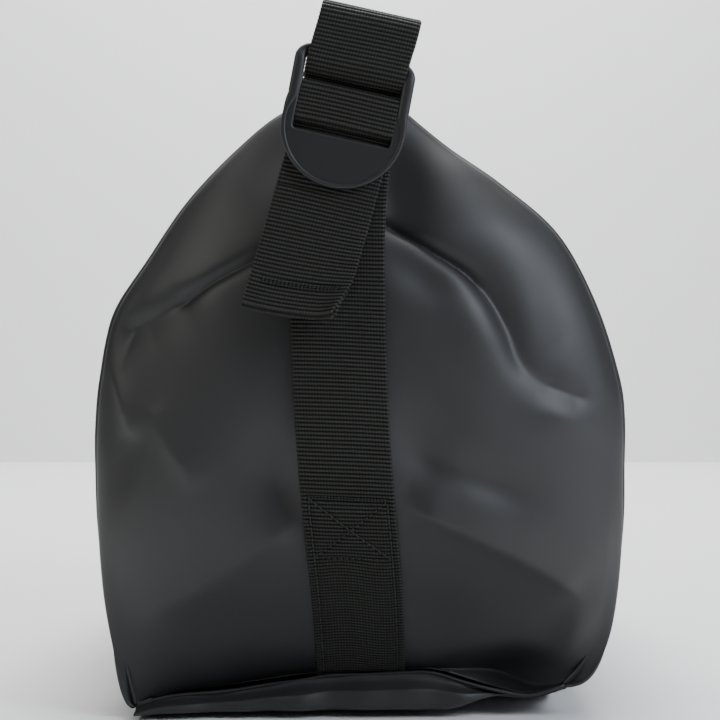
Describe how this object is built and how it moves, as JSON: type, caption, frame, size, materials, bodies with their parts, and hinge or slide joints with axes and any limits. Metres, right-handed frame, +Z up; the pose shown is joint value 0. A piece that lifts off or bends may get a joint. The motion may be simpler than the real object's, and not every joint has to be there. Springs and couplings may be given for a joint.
{
  "type": "soft holdall bag",
  "caption": "Soft zip-topped holdall with bulging ends, a webbing strap up each end, ladder locks with thumb tabs, and a carry strap over the top.",
  "frame": {"origin": "on the ground under the middle of the bag's base", "axes": "+Z up, Y along the bag, the front end faces -Y and +X is the bag's right as seen from the front"},
  "size_m": [0.2374, 0.4032, 0.3156],
  "materials": {
    "coated_fabric": "matte coated woven fabric, near black",
    "webbing": "ribbed nylon webbing, black",
    "moulded_plastic": "fine satin moulded plastic, black",
    "zip_metal": "satin black painted die casting",
    "zip_coil": "black nylon coil",
    "zip_tape": "black woven tape",
    "binding_tape": "black grosgrain tape",
    "thread": "black bonded thread"
  },
  "bodies": {
    "bag": {"base_panel": "coated_fabric", "side_panel_left": "coated_fabric", "side_panel_right": "coated_fabric", "end_panel_front": "coated_fabric", "end_panel_rear": "coated_fabric", "seam_binding_front": "binding_tape", "seam_binding_rear": "binding_tape", "zip_tape_left": "zip_tape", "zip_tape_right": "zip_tape", "zip_coil_left": "zip_coil", "zip_coil_right": "zip_coil", "zip_end_tab_front": "coated_fabric", "zip_end_tab_rear": "coated_fabric", "end_strap_front": "webbing", "end_strap_rear": "webbing", "box_stitch_front": "thread", "box_stitch_rear": "thread"},
    "carry": {"carry_strap": "webbing", "loop_stitch_front": "thread", "loop_stitch_rear": "thread"},
    "lock_front": {"ladder_lock_front": "moulded_plastic", "strap_turn_front": "webbing"},
    "tail_front": {"strap_tail_front": "webbing", "tail_stitch_front": "thread"},
    "slider_front": {"zip_slider_front": "zip_metal"},
    "puller_front": {"zip_puller_front": "zip_metal", "pull_tab_front": "coated_fabric"},
    "lock_rear": {"ladder_lock_rear": "moulded_plastic", "strap_turn_rear": "webbing"},
    "tail_rear": {"strap_tail_rear": "webbing", "tail_stitch_rear": "thread"},
    "slider_rear": {"zip_slider_rear": "zip_metal"},
    "puller_rear": {"zip_puller_rear": "zip_metal", "pull_tab_rear": "coated_fabric"}
  },
  "joints": [
    {"name": "strap_swing", "type": "hinge", "parent": "bag", "child": "carry", "pos_m": [-0.0047, 0, 0.254], "axis": [0, 1, 0], "range_deg": [-25, 10]},
    {"name": "lock_tilt_front", "type": "hinge", "parent": "carry", "child": "lock_front", "pos_m": [-0.0047, -0.195, 0.254], "axis": [-0.9759, 0, 0.2181], "range_deg": [0, 25]},
    {"name": "tail_lift_front", "type": "hinge", "parent": "lock_front", "child": "tail_front", "pos_m": [-0.01353, -0.1957, 0.21909], "axis": [-0.9622, 0, 0.2723], "range_deg": [0, 65]},
    {"name": "zip_slide_front", "type": "slide", "parent": "bag", "child": "slider_front", "axis": [0, -1, 0], "range_m": [0, 0.107]},
    {"name": "puller_lift_front", "type": "hinge", "parent": "slider_front", "child": "puller_front", "pos_m": [0, -0.01, 0.2596], "axis": [-1, 0, 0], "range_deg": [0, 95]},
    {"name": "lock_tilt_rear", "type": "hinge", "parent": "carry", "child": "lock_rear", "pos_m": [-0.0047, 0.195, 0.254], "axis": [0.9759, 0, -0.2181], "range_deg": [0, 25]},
    {"name": "tail_lift_rear", "type": "hinge", "parent": "lock_rear", "child": "tail_rear", "pos_m": [-0.01353, 0.1957, 0.21909], "axis": [0.9622, 0, -0.2723], "range_deg": [0, 65]},
    {"name": "zip_slide_rear", "type": "slide", "parent": "bag", "child": "slider_rear", "axis": [0, 1, 0], "range_m": [0, 0.107]},
    {"name": "puller_lift_rear", "type": "hinge", "parent": "slider_rear", "child": "puller_rear", "pos_m": [0, 0.01, 0.2596], "axis": [1, 0, 0], "range_deg": [0, 95]}
  ]
}
